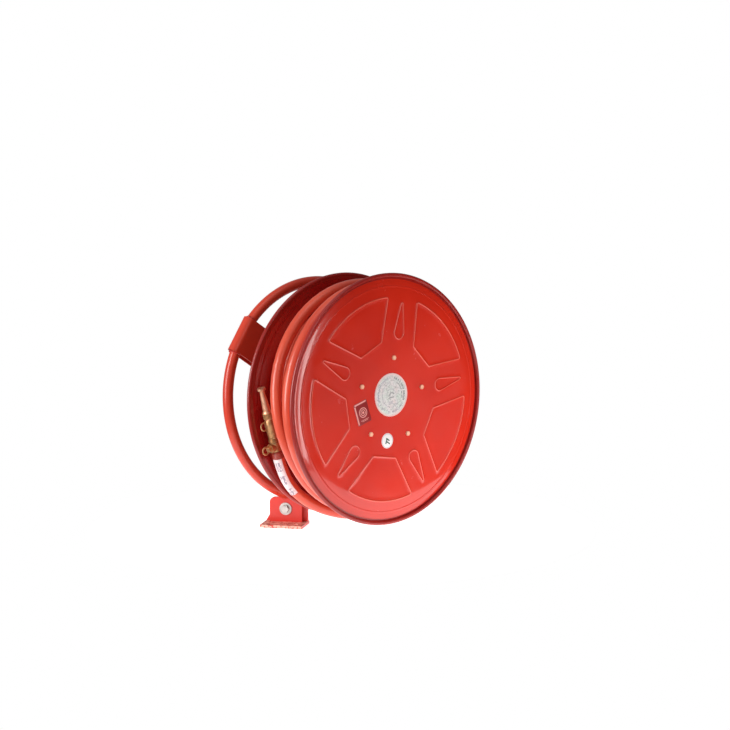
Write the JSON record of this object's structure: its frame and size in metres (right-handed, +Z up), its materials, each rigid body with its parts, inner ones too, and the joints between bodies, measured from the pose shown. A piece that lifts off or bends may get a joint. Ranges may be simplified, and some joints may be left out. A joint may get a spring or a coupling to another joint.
{
  "type": "wall-mounted fire hose reel",
  "caption": "Wall-mounted fire hose reel with pressed steel discs, wound rubber hose, brass nozzle with a cock, and a tubular hoop frame with a foot bracket.",
  "frame": {"origin": "centre of the wall plate's back face, on the reel's axis of rotation", "axes": "+Y into the wall along the reel's axis, so the front of the reel faces -Y; +Z up; +X to the right seen from the front"},
  "size_m": [0.5999, 0.365, 0.6286],
  "materials": {
    "red_paint": "gloss",
    "hose_rubber": "matte",
    "brass": "satin",
    "zinc_steel": "satin",
    "black_rubber": "matte",
    "label_silver": "satin",
    "label_print": "satin"
  },
  "bodies": {
    "frame": {"wall_plate": "red_paint", "standoff_post": "red_paint", "frame_arm": "red_paint", "frame_hoop": "red_paint", "foot_lug": "red_paint", "foot_bracket": "red_paint", "foot_bolt": "zinc_steel", "foot_washers": "zinc_steel", "foot_nut": "zinc_steel", "inlet_body": "brass", "inlet_bolts": "zinc_steel", "inlet_nuts": "zinc_steel", "spindle": "zinc_steel", "spindle_seals": "black_rubber", "thrust_washer": "brass", "retaining_clip": "zinc_steel"},
    "reel": {"front_disc": "red_paint", "rear_disc": "red_paint", "drum_core": "red_paint", "front_bolts": "red_paint", "front_nuts": "zinc_steel", "rear_bolts": "red_paint", "rear_nuts": "zinc_steel", "hub_barrel": "brass", "hub_bolts": "zinc_steel", "hub_nuts": "zinc_steel", "outlet_elbow": "brass", "hose_tail": "brass", "inner_clip": "zinc_steel", "centre_label": "label_silver", "round_sticker": "label_print", "square_sticker": "label_print", "hose_coil": "hose_rubber", "hose_end": "hose_rubber", "hose_wrap": "label_print", "nozzle_tail": "brass", "nozzle_ferrule": "brass", "cock_body": "brass", "cock_seal": "black_rubber", "nozzle_collar": "brass", "nozzle_barrel": "brass", "nozzle_tip": "brass", "nozzle_eye": "brass"},
    "cock": {"cock_plug": "brass", "cock_handle": "brass", "cock_nut": "brass"}
  },
  "joints": [
    {"name": "reel_spin", "type": "hinge", "parent": "frame", "child": "reel", "pos_m": [0, 0, 0], "axis": [0, 1, 0], "continuous": true},
    {"name": "cock_turn", "type": "hinge", "parent": "reel", "child": "cock", "pos_m": [-0.23224, -0.215, -0.10376], "axis": [-0.9591, 0, -0.2832], "range_deg": [0, 90]}
  ]
}
